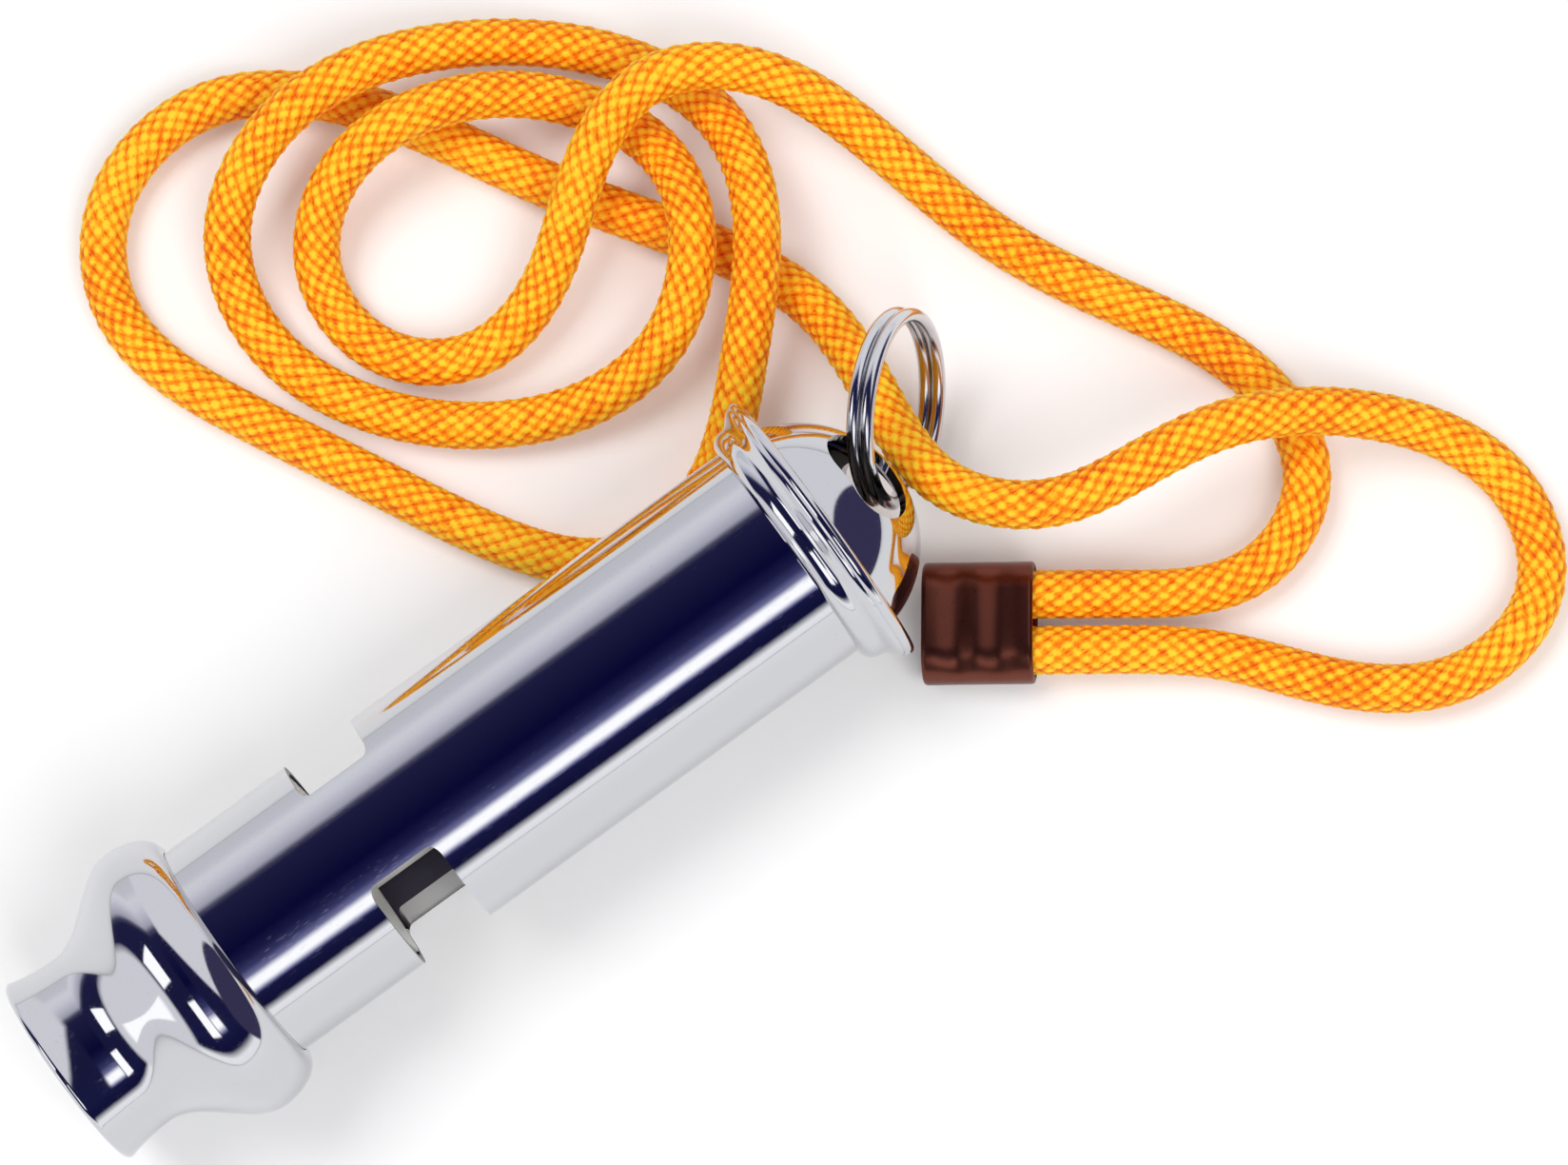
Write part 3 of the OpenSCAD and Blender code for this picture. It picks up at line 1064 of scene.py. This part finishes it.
    def braid(self, run: np.ndarray) -> np.ndarray:
        """Height of the braid from 0 in its valleys to 1 on its crowns.

        Args:
            run: Distance along the cord of each section.

        Returns:
            One height for each section and side.
        """
        round_share = np.arange(self.sides) / self.sides
        a = self.carriers * round_share[None] + run[:, None] / self.cell
        b = self.carriers * round_share[None] - run[:, None] / self.cell
        on_top = (np.floor(a) + np.floor(b)) % 2 < 1
        across = np.where(on_top, a, b) % 1 - 0.5
        lengthways = np.where(on_top, b, a) % 1 - 0.5
        rounded = np.sqrt(np.clip(1 - (self.strand_curve * across) ** 2, 0, 1))
        return rounded * (self.dive + (1 - self.dive) * np.cos(np.pi * lengthways))

    def cord(self, finish: Material) -> Object:
        """Makes the braided cord.

        Args:
            finish: Its finish.

        Returns:
            The cord.
        """
        path = self.centreline(self.cell / self.cell_steps)
        heading = np.gradient(path, axis=0)
        heading /= np.linalg.norm(heading, axis=1)[:, None]
        side = np.cross(heading, [0.0, 0.0, 1.0])
        side /= np.linalg.norm(side, axis=1)[:, None]
        up = np.cross(side, heading)
        height = self.braid(run_along(path))
        radius = self.diameter / 2 - self.relief * (1 - height)
        mesh = swept("braided_lanyard", path, side, up, radius, self.sides)
        # The braid's height is kept for the finish, which paints highlight and shade from it
        crown = mesh.attributes.new("crown", "FLOAT", "POINT")
        crown.data.foreach_set("value", height.ravel())
        smooth(mesh, 180)
        cord = new_object("braided_lanyard", mesh)
        dress(cord, finish, Slot.CORD, Body.WHISTLE, "lanyard_cord")
        return cord

    def sleeve(self, finish: Material) -> Object:
        """Makes the crimped sleeve, open at the cord's end and pressed flat in two places.

        Args:
            finish: Its finish.

        Returns:
            The sleeve.
        """
        face, along, across = self.sleeve_frame()
        half = (self.diameter + self.strand_gap) / 2
        r = self.diameter / 2 + self.sleeve_wall
        edge = 0.25 * MM
        bevel = edge * 0.3
        mouth_gap = 0.05 * MM
        mouth_r = self.diameter / 2 + mouth_gap
        mouth_depth = self.inside + 1 * MM
        crimps = (-0.32 * self.sleeve_len, -0.68 * self.sleeve_len)
        crimp_width = 1.1 * MM
        crimp_depth = 0.35 * MM

        def section(x: float, radius: float) -> list[np.ndarray]:
            """Points of the sleeve's oval at a place along it."""
            dent = sum(math.exp(-(((x - c) / crimp_width) ** 2)) for c in crimps) * crimp_depth
            middle = face + along * x
            flat = 1 - dent / r
            return [middle + across * a + np.array([0, 0, b * flat]) for a, b in oval(half, radius, 20)]

        steps = 60
        tail = -self.sleeve_len + edge
        places = [
            (-mouth_depth, mouth_r), (-edge, mouth_r), (0.0, mouth_r + edge), (0.0, r - edge),
            (-bevel, r - bevel), (-edge, r),
            *((-edge + (tail + edge) * (i + 1) / steps, r) for i in range(steps)),
            (-self.sleeve_len + bevel, r - bevel), (-self.sleeve_len, r - edge),
        ]
        rows = [section(x, radius) for x, radius in places]
        points = [p for row in rows for p in row]
        mesh = mesh_from("crimped_sleeve", points, tube_faces(len(rows), len(rows[0])))
        smooth(mesh, 50)
        sleeve = new_object("crimped_sleeve", mesh)
        dress(sleeve, finish, Slot.FERRULE, Body.WHISTLE, "lanyard_ferrule")
        return sleeve

    def build(self) -> None:
        cord = self.cord(BRAID.material())
        sleeve = self.sleeve(BRONZE.material())


def dress_inner_pieces(finish: Material) -> None:
    """Gives the blocks, the septum and the chamber stops their finish, a pale matte metal with painted light.

    Args:
        finish: Their finish.
    """
    inner = (
        "windway_block_left", "windway_block_right", "septum", "chamber_stop_left", "chamber_stop_right",
    )
    for name in inner:
        node = frame["nodes"][name]
        node.data.materials.clear()
        node.data.materials.append(finish)
        LOG.info("%s is dressed", name)


# Studio


@dataclass
class Studio:
    """Pale floor, soft light, surroundings that the chrome mirrors, and the camera.

    Attributes:
        axis: The whistle's axis.
        elevation: Height of the camera above the ground about the whistle's axis, in degrees.
        axis_tilt: Slope of the whistle's axis in the picture, in degrees.
        distance: Distance of the camera from the axis.
        foot: Place along the whistle that the camera stands over.
        aim: Place along the whistle in the middle of the picture.
        aim_below: Distance of the picture's middle from the axis, towards the picture's lower right.
        lens: Focal length in millimetres.
    """

    axis: Axis
    elevation: float = 75.0
    axis_tilt: float = 35.8
    distance: float = 450.0 * MM
    foot: float = 47.0 * MM
    aim: float = 61.2 * MM
    aim_below: float = 1.56 * MM
    lens: float = 146.2

    def to_camera(self) -> Vector:
        """Direction from the axis to the camera."""
        lift = math.radians(self.elevation)
        return Vector((0, -math.cos(lift), math.sin(lift)))

    def below(self) -> Vector:
        """Direction across the axis, towards the picture's lower right."""
        return ALONG.cross(self.to_camera())

    def camera(self) -> None:
        """Sets the camera at the photograph's view."""
        look, below = self.to_camera(), self.below()
        start = Vector((self.axis.lip_x, 0, self.axis.z))
        place = start + ALONG * self.foot + look * self.distance
        target = start + ALONG * self.aim + below * self.aim_below
        tilt = math.radians(self.axis_tilt)
        right = ALONG * math.cos(tilt) + below * math.sin(tilt)
        back = (place - target).normalized()
        up = back.cross(right).normalized()
        right = up.cross(back)
        view = bpy.data.cameras.new("camera")
        view.lens = self.lens
        view.sensor_width = 36.0
        view.clip_start = 0.01
        thing = new_object("camera", view)
        thing.matrix_world = Matrix((right, up, back)).transposed().to_4x4()
        thing.location = place
        bpy.context.scene.camera = thing

    def floor(self) -> None:
        """Lays the pale floor."""
        half = 1.5
        points = [(-half, -half, 0), (half, -half, 0), (half, half, 0), (-half, half, 0)]
        mesh = bpy.data.meshes.new("floor")
        mesh.from_pydata(points, [], [(0, 1, 2, 3)])
        floor = new_object("floor", mesh)
        drop = 0.05 * MM
        floor.location.z = -drop
        material, kit, shader = fresh_material("pale_floor")
        path = kit.add("ShaderNodeLightPath")
        seen = kit.math("MAXIMUM", path.outputs["Is Camera Ray"], path.outputs["Is Glossy Ray"])
        seen = kit.math("MAXIMUM", seen, path.outputs["Is Transmission Ray"])
        kit.fill(shader, {
            "Base Color": (0.85, 0.85, 0.85, 1),
            "Roughness": 0.9,
            "Specular IOR Level": 0.0,
            "Emission Color": (1, 1, 1, 1),
            "Emission Strength": kit.math("MULTIPLY", seen, 0.10),
        })
        mesh.materials.append(material)

    def surroundings(self) -> None:
        """Sets the world: white to the eye, soft to cloth, and a dark-topped room to the chrome."""
        world = bpy.data.worlds.new("studio")
        bpy.context.scene.world = world
        world.use_nodes = True
        kit = Nodes(world.node_tree)
        background = world.node_tree.nodes["Background"]
        way = kit.add("ShaderNodeTexCoord").outputs["Generated"]

        def reach(direction: Vector) -> NodeSocket:
            """Reach of a ray along a direction."""
            node = kit.add("ShaderNodeVectorMath", {0: way, 1: direction}, operation="DOT_PRODUCT")
            return node.outputs["Value"]

        lengthways = reach(ALONG)
        turn = kit.math("DEGREES", kit.math("ARCTAN2", reach(self.below()), reach(self.to_camera())))
        # Towards the lip the dark ceiling reaches further down on the upper side
        band = 0.11
        droop = 0.9
        lean = kit.math("MULTIPLY", kit.math("SUBTRACT", -band, lengthways), droop, clamp=True)
        bent = kit.math("SUBTRACT", turn, kit.math("MULTIPLY", kit.math("MINIMUM", turn, 0.0), lean))
        share = kit.math("DIVIDE", kit.math("ADD", bent, 180.0), 360.0)

        def around(stops: Sequence[tuple[float, Colour]]) -> NodeSocket:
            """Colour round the whistle's axis, from stops in degrees."""
            return kit.ramp(share, [((angle + 180) / 360, colour) for angle, colour in stops])

        wall, white, dark = (1.0, 1.0, 1.05, 1), (1.7, 1.7, 1.7, 1), (0.014, 0.014, 0.068, 1)
        upper = [
            (-180, (0.92, 0.92, 0.96, 1)), (-104, (0.82, 0.82, 0.87, 1)), (-90, (0.86, 0.86, 0.92, 1)),
            (-80, (1.02, 1.03, 1.08, 1)), (-71, (0.93, 0.93, 1.02, 1)), (-62, (0.74, 0.74, 0.84, 1)),
            (-55, (0.57, 0.57, 0.68, 1)), (-50, (0.09, 0.09, 0.165, 1)), (-45, (0.019, 0.019, 0.08, 1)),
        ]
        lower = [
            (46, (0.014, 0.015, 0.082, 1)), (61, (0.007, 0.007, 0.055, 1)), (69, (1.3, 1.31, 1.32, 1)),
            (78, (1.2, 1.21, 1.24, 1)), (90, (1.1, 1.1, 1.14, 1)), (179, (0.92, 0.92, 0.96, 1)),
        ]
        glow = [
            (-30, dark), (-2, (0.003, 0.003, 0.05, 1)), (11, (0.016, 0.016, 0.09, 1)),
            (20, (0.06, 0.062, 0.20, 1)), (27, (0.27, 0.27, 0.52, 1)), (32, white), (39, white),
            (44, (0.20, 0.20, 0.50, 1)),
        ]
        # A lit strip hangs in the middle of the ceiling, whose far end lies at a slant
        soft = 0.03
        near_end = -0.87
        far_end = 0.14
        far_slant = 0.45
        middle = kit.between(lengthways, -band, band, soft)
        ceiling = kit.mix(middle, around([*upper, (0, dark), *lower]), around([*upper, *glow, *lower]))
        slant = kit.math("DIVIDE", kit.math("ADD", turn, 45.0), 90.0, clamp=True)
        limit = kit.math("ADD", kit.math("MULTIPLY", slant, far_slant), far_end)
        room = kit.mix(kit.between(lengthways, near_end, limit, 0.05), wall, ceiling)
        panes = [
            ((-48, -10), (-0.82, -0.46)), ((10, 47), (-0.46, -0.11)), ((-15, 35), (-1.1, -0.92)),
        ]
        for angles, ends in panes:
            across = kit.between(turn, *angles, 2.0)
            pane = kit.math("MULTIPLY", across, kit.between(lengthways, *ends, soft))
            room = kit.mix(pane, room, white)
        doorway = ALONG * 0.857 + self.below() * 0.371 + self.to_camera() * 0.358
        door_half = math.radians(37)
        door_edge = 40.0
        door_colour = (0.055, 0.050, 0.12, 1)
        near = kit.math("SUBTRACT", reach(doorway.normalized()), math.cos(door_half))
        room = kit.mix(kit.math("MULTIPLY", near, door_edge, clamp=True), room, door_colour)
        path = kit.add("ShaderNodeLightPath")
        fill = (0.46, 0.46, 0.47, 1)
        seen = kit.mix(path.outputs["Is Glossy Ray"], fill, room)
        seen = kit.mix(path.outputs["Is Camera Ray"], seen, (1, 1, 1, 1))
        kit.fill(background, {"Color": seen, "Strength": 1.0})

    def lamp(self, name: str, place: Triple, size: float, watts: float) -> None:
        """Hangs a soft lamp that faces the whistle.

        Args:
            name: Name of the lamp.
            place: Where it hangs.
            size: Width of the lamp.
            watts: Its power.
        """
        light = bpy.data.lights.new(name, "AREA")
        light.size = size
        light.energy = watts
        thing = new_object(name, light)
        thing.location = place
        thing.rotation_euler = Vector(place).to_track_quat("Z", "Y").to_euler()
        thing.visible_glossy = False

    def build(self) -> None:
        """Sets the whole studio."""
        self.floor()
        self.surroundings()
        self.lamp("soft_key", place=(-0.12, 0.30, 0.80), size=0.45, watts=3.2)
        self.lamp("soft_fill", place=(0.02, -0.48, 0.62), size=0.40, watts=2.9)
        self.camera()
        bpy.context.scene.view_settings.view_transform = "Standard"


def main() -> None:
    """Builds the studio and every piece."""
    logging.basicConfig(level=logging.INFO, format="%(name)s: %(message)s")
    axis = Axis.of_part()
    Studio(axis).build()
    Lanyard().build()
    chrome = CHROME.material()
    barrel = Barrel(axis)
    barrel.build(chrome, PAINTED_SHADE_INNER.material())
    Mouthpiece(axis).build(chrome)
    Cap(axis).build(chrome, barrel.wall)
    SplitRing().build(STEEL.material())
    dress_inner_pieces(PAINTED_LIT_NICKEL.material())


if __name__ == "__main__":
    main()
